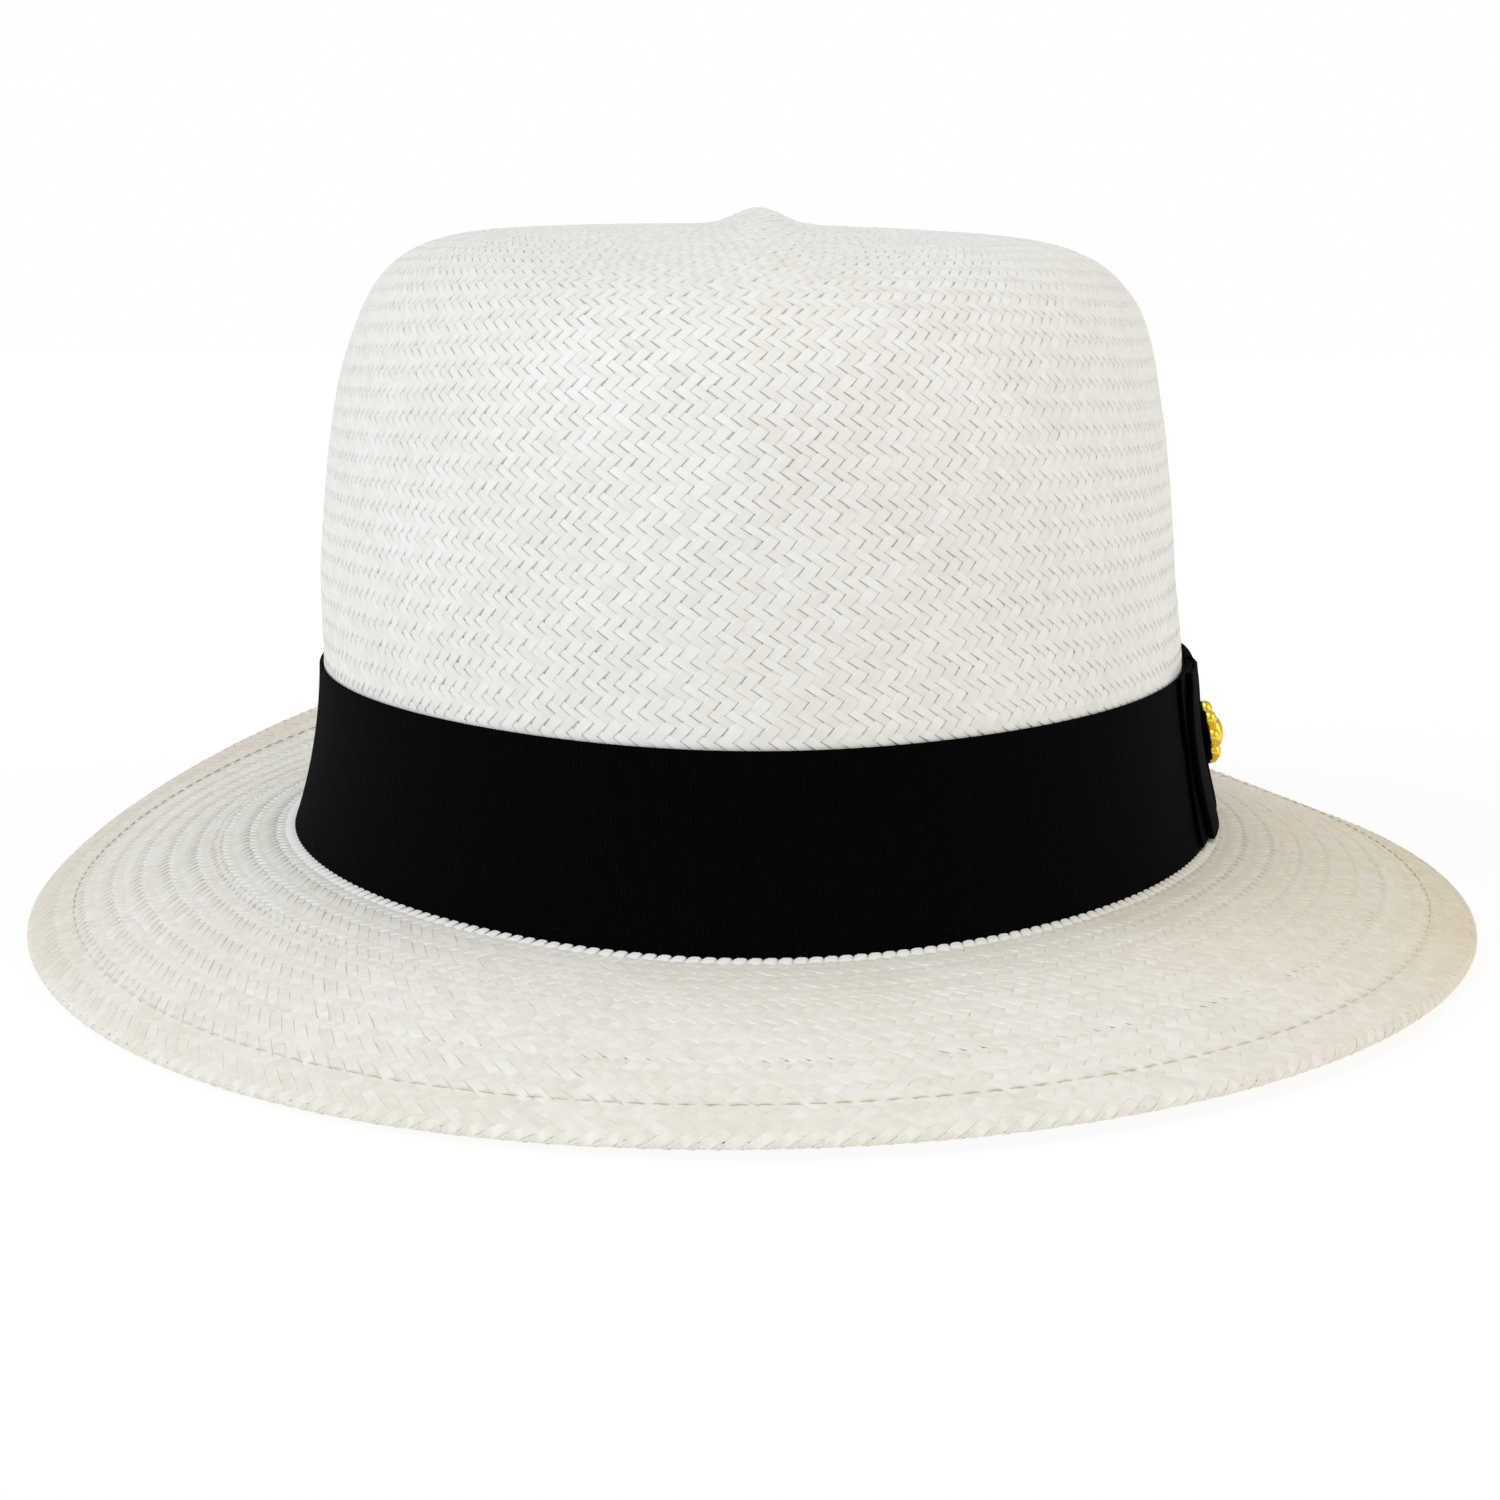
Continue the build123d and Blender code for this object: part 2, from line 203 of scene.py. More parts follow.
def add_crease(points):
    """The ridge along the top of the crown and the soft crease it runs into down the front."""
    x, y, z = points[..., 0], points[..., 1], points[..., 2]
    ridge = np.cos(np.clip(y / RIDGE_SPAN, -1, 1) * pi / 2) * np.exp(-(((x - 1.2) / 6.0) ** 2))
    crease = np.exp(-(((x + 1.5) / 5.0) ** 2)) * smooth((z - 34.0) / 40.0) * (y < 0)
    tilt = 0.012 * smooth((z - 92.0) / 20.0)
    lean = 1.1 * smooth((z - 32.0) / 22.0) * (1.0 - 0.7 * smooth((z - 85.0) / 20.0))
    points[..., 2] += RIDGE_H * ridge * smooth((z - 96.0) / 14.0) - tilt * x - 0.9 * smooth((z - 100.0) / 16.0)
    points[..., 0] -= lean
    points[..., 1] -= 0.7 * crease * smooth((118.0 - z) / 8.0)
    return points


def crown_rows(angles, rings):
    """The weave's middle surface on the crown: one row for each ring number, counted from the apex."""
    corner = np.linspace(0.0, 0.93, 260)
    low = np.linspace((1 - corner[-1] ** CORNER_POWER) ** (1 / CORNER_POWER), -1.5 / CROWN_H, 260)[1:]
    level = np.append((1 - corner**CORNER_POWER) ** (1 / CORNER_POWER), low)
    corner = np.append(corner, (1 - np.maximum(low, 0.0) ** CORNER_POWER) ** (1 / CORNER_POWER))
    curve = stack(*crown_point(level[:, None], corner[:, None], angles[None, :], STRAW_MIDDLE))
    arc = np.cumsum(np.linalg.norm(np.diff(curve, axis=0), axis=2), axis=0)
    arc = np.vstack([np.zeros(len(angles)), arc])
    rows = np.empty((len(rings), len(angles), 3))
    heights = WALL_TOP * (1.0 - (rings - TOP_ROWS) / WALL_ROWS)
    for i in range(len(angles)):
        down = -curve[:, i, 2]
        foot = np.interp(-WALL_TOP, down, arc[:, i])
        target = np.where(rings <= TOP_ROWS, foot * rings / TOP_ROWS, np.interp(-heights, down, arc[:, i]))
        for axis in range(3):
            rows[:, i, axis] = np.interp(target, arc[:, i], curve[:, i, axis])
    return add_crease(rows)


def brim_rows(angles, rings):
    """The weave's middle surface on the brim, counted out from the crown, round the edge and under the hem."""
    angle, ring = np.meshgrid(angles, rings)
    flat = ring <= BRIM_ROWS
    turn = np.clip((ring - BRIM_ROWS) / EDGE_ROWS, 0, 1) * pi
    back = np.clip((ring - BRIM_ROWS - EDGE_ROWS) / HEM_ROWS, 0, 1)
    edge_in = STRAW_MIDDLE + EDGE_R
    length = brim_point(angle, 0.0 * angle, 0.0)[1]
    inset = np.where(flat, length - (length - edge_in) * ring / BRIM_ROWS, edge_in - EDGE_R * np.sin(turn))
    inset = inset + HEM_WIDTH * back
    groove = GROOVE_DEPTH * np.exp(-(((inset - GROOVE_INSET) / GROOVE_WIDTH) ** 2)) * flat
    drop = STRAW_MIDDLE + EDGE_R * (1 - np.cos(turn)) - 0.3 * back + groove
    drop = drop + front_dip(angle) * np.exp(-((np.maximum(length - inset, 0.0) / DIP_REACH) ** 2)) * flat
    return brim_point(angle, inset, drop)[0]


# ---------------------------------------------------------------- meshes


def make_piece(name, points, faces, material, body="root", slot=None, replaces=(), uv=None, colour=None,
               sharp=50.0):
    """A mesh object from points in millimetres over the break line, riding on a CAD body."""
    mesh = bpy.data.meshes.new(name)
    points = np.asarray(points, np.float32).reshape(-1, 3).copy()
    points[:, 2] += BREAK_Z
    sizes = np.concatenate([np.full(len(f), f.shape[1]) for f in faces])
    corners = np.concatenate([f.ravel() for f in faces]).astype(np.int32)
    mesh.vertices.add(len(points))
    mesh.vertices.foreach_set("co", (points * MM).ravel())
    mesh.loops.add(len(corners))
    mesh.loops.foreach_set("vertex_index", corners)
    mesh.polygons.add(len(sizes))
    mesh.polygons.foreach_set("loop_start", np.append(0, np.cumsum(sizes)[:-1]).astype(np.int32))
    mesh.polygons.foreach_set("use_smooth", np.ones(len(sizes), bool))
    if uv is not None:
        layer = mesh.uv_layers.new(name="OFBake")
        layer.data.foreach_set("uv", np.asarray(uv, np.float32).ravel())
    if colour is not None:
        attribute = mesh.attributes.new("straw", "FLOAT_COLOR", "POINT")
        attribute.data.foreach_set("color", np.asarray(colour, np.float32).ravel())
    mesh.update(calc_edges=True)
    mesh.validate()
    mesh.set_sharp_from_angle(angle=radians(sharp))
    mesh.materials.append(material)
    piece = bpy.data.objects.new(name, mesh)
    bpy.context.scene.collection.objects.link(piece)
    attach(piece, body)
    if replaces:
        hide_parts(*replaces)
    return piece


OVAL = [(np.cos(t), np.sin(t)) for t in pi - tau * np.arange(6) / 6]
FLAT_STRAW = [(-1.0, -0.25), (-0.84, 1.0), (0.84, 1.0), (1.0, -0.25), (0.7, -1.0), (-0.7, -1.0)]


def strands(centre, up, half_width, half_thick, tone, section=OVAL):
    """Closed strands along centre, one row each, with a section of (across, up) pairs in half sizes.

    Returns points, faces, uv and colour.
    """
    count, steps = centre.shape[:2]
    sides = len(section)
    section = np.array(section)
    along = unit(np.gradient(centre, axis=1))
    side = unit(np.cross(along, up))
    up = unit(np.cross(side, along))
    across = section[:, :1] * half_width[:, :, None, None] * side[:, :, None]
    raised = section[:, 1:] * half_thick[:, :, None, None] * up[:, :, None]
    points = centre[:, :, None] + across + raised
    index = np.arange(count * steps * sides).reshape(count, steps, sides)
    ahead = np.roll(index, -1, axis=2)
    quads = np.stack([index[:, :-1], ahead[:, :-1], ahead[:, 1:], index[:, 1:]], axis=-1).reshape(-1, 4)
    caps = np.concatenate([index[:, 0, ::-1], index[:, -1]])
    column = np.arange(count)[:, None, None]
    left = np.broadcast_to((column + 0.06 + 0.88 * np.arange(sides) / sides) / count, (count, steps - 1, sides))
    right = left + 0.88 / sides / count
    low = np.broadcast_to((np.arange(steps - 1) / (steps - 1))[None, :, None], left.shape)
    high = low + 1.0 / (steps - 1)
    uv = np.stack([np.stack([left, low], -1), np.stack([right, low], -1),
                   np.stack([right, high], -1), np.stack([left, high], -1)], axis=-2).reshape(-1, 2)
    cap_uv = np.repeat(np.stack([(np.arange(2 * count) % count + 0.5) / count,
                                 np.repeat([0.001, 0.999], count)], -1), sides, axis=0)
    colour = np.ones((count, steps, sides, 4))
    colour[..., 0] = tone[:, None, None]
    # Marks the side edges of the section; the straw paint darkens them as painted shade
    colour[..., 2] = np.abs(section[:, 0]) > 0.9
    colour[..., 3] = 0.0
    return {"points": points.reshape(-1, 3), "faces": [quads, caps], "uv": np.concatenate([uv, cap_uv]),
            "colour": colour.reshape(-1, 4), "shape": (count, steps, sides)}


def joined(parts):
    """Several results of strands() as one."""
    columns = sum(p["shape"][0] for p in parts)
    faces, quad_uv, cap_uv = [[], []], [], []
    points_before, columns_before = 0, 0
    for part in parts:
        for kind in (0, 1):
            faces[kind].append(part["faces"][kind] + points_before)
        uv = part["uv"].copy()
        uv[:, 0] = (uv[:, 0] * part["shape"][0] + columns_before) / columns
        split = len(part["faces"][0]) * 4
        quad_uv.append(uv[:split])
        cap_uv.append(uv[split:])
        points_before += len(part["points"])
        columns_before += part["shape"][0]
    return {"points": np.concatenate([p["points"] for p in parts]),
            "faces": [np.concatenate(f) for f in faces],
            "uv": np.concatenate(quad_uv + cap_uv),
            "colour": np.concatenate([p["colour"] for p in parts])}


def grid_normals(grid):
    """Outward normals of a surface whose rows are rings and whose columns go round it."""
    down = np.gradient(grid, axis=0)
    around = np.roll(grid, -1, axis=1) - np.roll(grid, 1, axis=1)
    return unit(np.cross(down, around))


def weave(rows, first, last, count, family, wave_height, bias=0.0):
    """One family of straws, "a" or "b", of a twill that goes over two and under two.

    A bias keeps family "a" on top for longer.
    """
    rings = np.arange(first, last + 0.25, 0.5)
    around = 10 * count
    grid = rows(even_angles(around), rings)
    normals = grid_normals(grid)
    step = np.arange(len(rings))
    start = np.arange(count)[:, None]
    column = (10 * start + SLANT[family] * step) % around
    centre = grid[step, column]
    up = normals[step, column]
    pitch = grid[step, (column + 5) % around] - grid[step, (column - 5) % around]
    along = unit(np.gradient(centre, axis=1))
    room = np.linalg.norm(np.cross(pitch, along), axis=-1)
    swing = np.clip(np.cos(pi / 2 * (rings[None, :] - 0.5)) + bias, -1.0, 1.0)
    wave = (1 if family == "a" else -1) * np.sign(swing) * np.abs(swing) ** 0.5
    ends = smooth(step / 2.0) * smooth((len(step) - 1 - step) / 2.0)
    wobble = rng.uniform(0, tau, (count, 2))
    drift = 0.035 * np.sin(0.21 * step + wobble[:, :1]) + 0.02 * np.sin(0.67 * step + wobble[:, 1:])
    side = unit(np.cross(along, up))
    size = 1.0 + 0.05 * rng.standard_normal((count, 1))
    height, fill = wave_height(rings)
    lift = height * wave * (1.0 + 0.12 * rng.standard_normal((count, 1))) - 0.25 * (1 - ends)
    centre = centre + up * lift[..., None] + side * (drift * room)[..., None]
    half_width = 0.5 * fill * room * np.clip(size, 0.86, 1.1) * (0.7 + 0.3 * ends)
    half_thick = np.broadcast_to(STRAW_HALF * (0.6 + 0.4 * ends), half_width.shape)
    made = strands(centre, up, half_width, half_thick, rng.uniform(0, 1, count), FLAT_STRAW)
    colour = made["colour"].reshape(count, len(step), len(FLAT_STRAW), 4)
    # 1 where the straw is on top, 0 where it dips under: sets how much painted shade its edges get
    colour[..., 1] = np.broadcast_to(0.5 + 0.5 * wave, (count, len(step)))[..., None]
    return made


def crown_wave(rings):
    """How far a straw of the crown rises and dips, and its width as a share of the room it has."""
    return CROWN_WAVE, FILL


def brim_wave(rings):
    """The same for the brim: flatter, and flattest and closest on its folded rim."""
    hem = smooth((rings - BRIM_ROWS + 5.5) / 1.5)
    return BRIM_WAVE + (HEM_WAVE - BRIM_WAVE) * hem, 1.05 + 0.03 * hem


def brim_warmth_and_warm_light(made):
    """Gives the straws of the brim their warmth: a warmer tint that grows towards the rim, and painted warm
    light that grows towards the wearer's left.
    """
    x, y = made["points"][:, 0], made["points"][:, 1]
    out = np.hypot(x / RIM_X, y / RIM_Y)
    side = smooth((x + 70.0) / 190.0)
    rim = smooth((out - 0.88) / 0.12) * (0.25 + 0.75 * smooth((y + 125.0) / 110.0))
    # The side term is painted warm light on the wearer's left; the rim term is a warmer tint towards the rim
    made["colour"][:, 3] = np.clip(0.16 + 0.50 * side * smooth((y + 150.0) / 90.0) + 0.45 * rim, 0.0, 1.0)
    return made


def part_of(made, first, last):
    """The strands numbered first to last - 1 of a result of strands()."""
    count, steps, sides = made["shape"]
    size = steps * sides
    points = made["points"][first * size:last * size]
    quads = made["faces"][0].reshape(count, -1, 4)[first:last].reshape(-1, 4) - first * size
    caps = made["faces"][1].reshape(2, count, sides)[:, first:last].reshape(-1, sides) - first * size
    split = len(made["faces"][0]) * 4
    quad_uv = made["uv"][:split].reshape(count, -1, 2)[first:last].reshape(-1, 2).copy()
    cap_uv = made["uv"][split:].reshape(2, count, sides, 2)[:, first:last].reshape(-1, 2).copy()
    uv = np.concatenate([quad_uv, cap_uv])
    uv[:, 0] = (uv[:, 0] * count - first) / (last - first)
    return {"points": points, "faces": [quads, caps], "uv": uv,
            "colour": made["colour"][first * size:last * size], "shape": (last - first, steps, sides)}


def ring_quads(count, sides):
    """The faces of a closed ring of count places, with a closed section of so many sides."""
    index = np.arange(count * sides).reshape(count, sides)
    ahead, above = np.roll(index, -1, axis=0), np.roll(index, -1, axis=1)
    return np.stack([index, ahead, np.roll(ahead, -1, axis=1), above], axis=-1).reshape(-1, 4)


def ring_solid(outline, section, count):
    """A closed ring with a closed section of (height, inset) pairs; returns points, faces and uv."""
    section = np.array(section, float)
    angles = even_angles(count)
    points = outline(section[None, :, 0], angles[:, None], section[None, :, 1])
    quads = ring_quads(count, len(section))
    lengths = np.linalg.norm(np.roll(section, -1, axis=0) - section, axis=1)
    v = np.append(0, np.cumsum(lengths)) / lengths.sum()
    u = np.arange(count + 1) / count
    corners = [[u[:-1, None], v[None, :-1]], [u[1:, None], v[None, :-1]],
               [u[1:, None], v[None, 1:]], [u[:-1, None], v[None, 1:]]]
    uv = np.stack([np.stack(np.broadcast_arrays(*c), -1) for c in corners], axis=-2).reshape(-1, 2)
    return points, [quads], uv


def tape_section(low, high, outer, inner, rows=14, round_off=0.3):
    """The section of a tape with rounded edges, as (height, inset) pairs, outside first, going up."""
    heights = np.linspace(low + round_off, high - round_off, rows)
    middle, half = (outer + inner) / 2, abs(inner - outer) / 2
    section = [(z, outer) for z in heights]
    for turn in (0.25, 0.5, 0.75):
        section.append((high - round_off + round_off * np.sin(turn * pi), middle - half * np.cos(turn * pi)))
    section += [(z, inner) for z in heights[::-1]]
    for turn in (0.25, 0.5, 0.75):
        section.append((low + round_off - round_off * np.sin(turn * pi), middle + half * np.cos(turn * pi)))
    return section


# ---------------------------------------------------------------- materials


def srgb(r, g, b):
    """An sRGB colour of 0 to 255 as linear values."""
    value = np.array([r, g, b]) / 255.0
    linear = np.where(value <= 0.04045, value / 12.92, ((value + 0.055) / 1.055) ** 2.4)
    return (*map(float, linear), 1.0)


class Paint:
    """A node material being made: its shader, and short ways to add and link nodes."""

    def __init__(self, name, **settings):
        self.material = bpy.data.materials.new(name)
        self.material.use_nodes = True
        self.nodes = self.material.node_tree.nodes
        self.shader = self.nodes["Principled BSDF"]
        for socket, value in settings.items():
            self.shader.inputs[socket.replace("_", " ")].default_value = value

    def add(self, kind, links=None, **settings):
        node = self.nodes.new(kind)
        for name, value in settings.items():
            setattr(node, name, value)
        for socket, value in (links or {}).items():
            self.put(value, node.inputs[socket])
        return node

    def put(self, value, socket):
        if isinstance(value, bpy.types.NodeSocket):
            self.material.node_tree.links.new(value, socket)
        else:
            socket.default_value = value

    def math(self, operation, a, b=0.0):
        return self.add("ShaderNodeMath", {0: a, 1: b}, operation=operation).outputs[0]

    def mix(self, share, a, b, blend="MIX"):
        node = self.add("ShaderNodeMix", {"Factor": share}, data_type="RGBA", blend_type=blend)
        self.put(a, node.inputs[6])
        self.put(b, node.inputs[7])
        return node.outputs[2]

    def noise(self, vector, scale, detail=2.0):
        return self.add("ShaderNodeTexNoise", {"Vector": vector, "Scale": scale, "Detail": detail}).outputs[0]

    def stretched(self, source, x, y, z=1.0):
        return self.add("ShaderNodeMapping", {"Vector": source, "Scale": (x, y, z)}).outputs[0]

    def uv(self):
        return self.add("ShaderNodeUVMap", uv_map="OFBake").outputs[0]

    def place(self):
        return self.add("ShaderNodeTexCoord").outputs["Object"]

    def bump(self, height, distance, strength=1.0):
        node = self.add("ShaderNodeBump", {"Height": height, "Distance": distance, "Strength": strength})
        self.put(node.outputs[0], self.shader.inputs["Normal"])

    def ramp(self, value, low, high, low_to=0.0, high_to=1.0):
        return self.add("ShaderNodeMapRange", {"Value": value, "From Min": low, "From Max": high,
                                               "To Min": low_to, "To Max": high_to}).outputs[0]


def straw_paint(name, strands_across, white, cream, edge_shade_tint, fibre_tint):
    """Bleached straw: each straw has its own tone, fine fibres run along it, and its edges get painted shade,
    most where the straw dips under its neighbours.
    """
    paint = Paint(name, Specular_IOR_Level=0.35, Sheen_Weight=0.05)
    parts = paint.add("ShaderNodeSeparateColor",
                      {"Color": paint.add("ShaderNodeAttribute", attribute_name="straw").outputs["Color"]})
    tone, height, edge = parts.outputs
    # Alpha of the straw colour: the brim's warmth, partly painted warm light on the wearer's left
    warmth_and_light = parts.inputs[0].links[0].from_node.outputs["Alpha"]
    fibre = paint.noise(paint.stretched(paint.uv(), strands_across * 6.0, 20.0), 1.0, 3.0)
    patch = paint.noise(paint.place(), 30.0, 2.0)
    mixed = paint.mix(paint.ramp(paint.math("ADD", tone, paint.math("MULTIPLY", patch, 1.2)), 0.3, 1.5),
                      white, cream)
    streaked = paint.mix(paint.ramp(fibre, 0.35, 0.75), mixed,
                         paint.mix(1.0, mixed, fibre_tint, "MULTIPLY"))
    # Painted shade: darkens a straw's side edges, most where the straw dips under its neighbours (height near
    # 0)
    shade = paint.math("MULTIPLY", paint.math("POWER", edge, 2.0), paint.ramp(height, 1.0, 0.0, 0.15, 0.7))
    painted_edge_shade = paint.mix(1.0, streaked, edge_shade_tint, "MULTIPLY")
    shaded = paint.mix(shade, streaked, painted_edge_shade)
    # Warm beige: partly painted warm light, partly a warmer tint towards the rim
    warmed = paint.mix(1.0, shaded, (0.88, 0.785, 0.64, 1), "MULTIPLY")
    paint.put(paint.mix(warmth_and_light, shaded, warmed), paint.shader.inputs["Base Color"])
    paint.put(paint.ramp(fibre, 0.3, 0.8, 0.42, 0.62), paint.shader.inputs["Roughness"])
    paint.bump(fibre, 0.00008, 0.8)
    return paint.material


def ribbon_paint(name, ribs):
    """Black grosgrain: close ribs across the ribbon."""
    paint = Paint(name, Specular_IOR_Level=0.02, Roughness=0.8)
    across = paint.add("ShaderNodeSeparateXYZ", {"Vector": paint.uv()}).outputs["X"]
    rib = paint.math("SINE", paint.math("MULTIPLY", across, ribs * tau))
    dust = paint.noise(paint.place(), 900.0, 3.0)
    colour = paint.mix(paint.ramp(rib, -1.0, 1.0), (0.0004, 0.0007, 0.0010, 1), (0.0012, 0.0015, 0.0020, 1))
    paint.put(paint.mix(paint.ramp(dust, 0.55, 0.8), colour, (0.0022, 0.0024, 0.0030, 1)),
              paint.shader.inputs["Base Color"])
    paint.bump(paint.math("ADD", rib, paint.math("MULTIPLY", dust, 0.6)), 0.00012, 0.8)
    return paint.material


def metal_paint(name, colour, shadow, roughness=0.16):
    """Polished metal with faint wear."""
    paint = Paint(name, Metallic=1.0)
    wear = paint.noise(paint.place(), 400.0, 3.0)
    paint.put(paint.mix(paint.ramp(wear, 0.45, 0.75), colour, shadow), paint.shader.inputs["Base Color"])
    paint.put(paint.ramp(wear, 0.3, 0.8, roughness, roughness + 0.14), paint.shader.inputs["Roughness"])
    paint.bump(wear, 0.00001, 0.1)
    return paint.material


def leather_paint(name):
    """Tan sweatband leather with a fine grain."""
    paint = Paint(name, Specular_IOR_Level=0.4)
    grain = paint.add("ShaderNodeTexVoronoi", {"Vector": paint.place(), "Scale": 900.0}).outputs["Distance"]
    cloud = paint.noise(paint.place(), 24.0, 4.0)
    colour = paint.mix(paint.ramp(cloud, 0.3, 0.7), srgb(176, 128, 82), srgb(150, 102, 62))
    paint.put(paint.mix(paint.ramp(grain, 0.0, 0.5, 0.25, 0.0), colour, srgb(96, 62, 36)),
              paint.shader.inputs["Base Color"])
    paint.put(paint.ramp(cloud, 0.3, 0.7, 0.42, 0.58), paint.shader.inputs["Roughness"])
    paint.bump(grain, 0.00012, 0.6)
    return paint.material


def thread_paint(name, light, dark, turns=40.0, shine=0.3):
    """Twisted thread."""
    paint = Paint(name, Specular_IOR_Level=shine, Roughness=0.6)
    twist = paint.add("ShaderNodeTexWave", {"Vector": paint.place(), "Scale": turns * 25.0, "Distortion": 2.0})
    paint.put(paint.mix(twist.outputs[1], dark, light), paint.shader.inputs["Base Color"])
    paint.bump(twist.outputs[1], 0.00004, 0.5)
    return paint.material


def satin_paint(name):
    """Dark satin of the small bow at the back of the sweatband."""
    paint = Paint(name, Specular_IOR_Level=0.5, Roughness=0.35)
    thread = paint.noise(paint.stretched(paint.place(), 300.0, 6000.0, 6000.0), 1.0, 2.0)
    paint.put(paint.mix(thread, srgb(58, 40, 28), srgb(84, 60, 42)), paint.shader.inputs["Base Color"])
    paint.bump(thread, 0.00003, 0.5)
    return paint.material


# Third colour: painted shade at the straws' edges; fourth: the fibres' own tint
crown_colours = srgb(238, 238, 236), srgb(231, 229, 223), (0.74, 0.74, 0.73, 1), (0.96, 0.955, 0.94, 1)
crown_straw = straw_paint("crown_straw", 70, *crown_colours)
crown_top_straw = straw_paint("crown_top_straw", 300, *crown_colours)
# Its third colour is a faint painted shade at the straws' edges
brim_straw = straw_paint("brim_straw", 300, srgb(244, 244, 242), srgb(236, 234, 227), (0.97, 0.97, 0.96, 1),
                         (0.90, 0.89, 0.86, 1))
# Whiter than the other straw: painted light against the ribbon's shade; the dark third colour is painted shade
# in the gaps between the loops
break_straw = straw_paint("break_straw", BREAK_LOOPS, srgb(248, 249, 248), srgb(243, 243, 240),
                          (0.30, 0.31, 0.33, 1), (0.96, 0.96, 0.95, 1))
black_ribbon = ribbon_paint("black_ribbon", 760)
bow_ribbon = ribbon_paint("bow_ribbon", 80)
gold = metal_paint("gold", srgb(246, 214, 84), srgb(236, 196, 62), 0.12)
steel = metal_paint("steel", srgb(196, 192, 186), srgb(168, 164, 158), 0.25)
tan_leather = leather_paint("tan_leather")
straw_thread = thread_paint("straw_thread", srgb(230, 225, 210), srgb(216, 209, 190))
black_thread = thread_paint("black_thread", (0.003, 0.003, 0.004, 1), (0.001, 0.001, 0.002, 1), shine=0.03)
tan_thread = thread_paint("tan_thread", srgb(226, 206, 170), srgb(184, 156, 112))
reed_cover = thread_paint("reed_cover", srgb(206, 190, 160), srgb(172, 150, 116))
wire_cover = thread_paint("wire_cover", srgb(224, 220, 208), srgb(196, 188, 170))
bow_satin = satin_paint("bow_satin")


# ---------------------------------------------------------------- straw


def add_strands(name, made, material, slot, replaces=(), **more):
    return make_piece(name, made["points"], made["faces"], material, slot=slot, replaces=replaces,
                      uv=made["uv"], colour=made["colour"], sharp=30.0, **more)


def add_in_parts(name, made, material, parts):
    """Adds a family of straws as several pieces, so that none has too many faces."""
    count = made["shape"][0]
    cuts = [count * i // parts for i in range(parts + 1)]
    for i, (first, last) in enumerate(zip(cuts[:-1], cuts[1:])):
        add_strands(f"{name}_{i + 1}", part_of(made, first, last), material, "straw", ["straw_body"])


def build_crown():
    """The wall and top of the crown; towards the apex fewer straws go round."""
    for family in SLANT:
        outer = weave(crown_rows, 58, TOP_ROWS + WALL_ROWS + 1, CROWN_STRAWS, family, crown_wave)
        add_in_parts(f"crown_weave_{family}", outer, crown_straw, 4)
        zones = ((40, 59, 146), (27, 41, 102), (18, 28, 70), (11, 19, 46), (5, 12, 28))     # rings, straws
        inner = [weave(crown_rows, first, last, count, family, crown_wave) for first, last, count in zones]
        add_strands(f"crown_top_weave_{family}", joined(inner), crown_top_straw, "straw", ["straw_body"])


def build_crown_start():
    """The small plaited disc that the weave starts from, over the apex."""
    near = crown_rows(even_angles(48), np.linspace(0.5, 6.0, 12)).reshape(-1, 3)
    middle = near.mean(axis=0)

    def terms(x, y):
        return np.stack([np.ones_like(x), x, y, x * x, x * y, y * y], axis=-1)

    fit = np.linalg.lstsq(terms(*(near[:, :2] - middle[:2]).T), near[:, 2], rcond=None)[0]
    count, steps, gap, radius = 9, 31, 1.5, 6.9
    share = np.linspace(-1, 1, steps)
    place = gap * np.broadcast_to(np.arange(count)[:, None] - (count - 1) / 2, (count, steps))
    run = np.sqrt(radius**2 - place**2) * share
    for family, side in (("a", 1), ("b", -1)):
        x, y = (run, place) if family == "a" else (place, run)
        over = side * np.cos(pi * run / gap) * np.cos(pi * place / gap)
        lift = 0.20 * over - 0.30 * smooth((np.abs(share) - 0.75) / 0.25)
        centre = stack(middle[0] + x, middle[1] + y, terms(x, y) @ fit + lift)
        up = np.broadcast_to(UP, centre.shape)
        half_width = np.full(centre.shape[:2], 0.48 * gap)
        half_thick = np.full(centre.shape[:2], STRAW_HALF)
        made = strands(centre, up, half_width, half_thick, rng.uniform(0, 1, count), FLAT_STRAW)
        colour = made["colour"].reshape(count, steps, len(FLAT_STRAW), 4)
        # 1 where the straw is on top, 0 where it dips under: sets how much painted shade its edges get
        colour[..., 1] = (0.5 + 0.5 * over)[..., None]
        add_strands(f"crown_start_{family}", made, crown_top_straw, "straw", ["straw_body"])


def build_brim():
    """The brim, in three zones with more straws in each, and its edge folded under."""
    last = BRIM_ROWS + EDGE_ROWS + HEM_ROWS
    zones = ("inner", -0.5, 13, 240), ("middle", 12, 26, 274), ("outer", 25, last, 310)
    for family in SLANT:
        for name, first, end, count in zones:
            made = brim_warmth_and_warm_light(weave(brim_rows, first, end, count, family, brim_wave, BRIM_BIAS))
            add_strands(f"brim_weave_{name}_{family}", made, brim_straw, "straw", ["straw_body"])


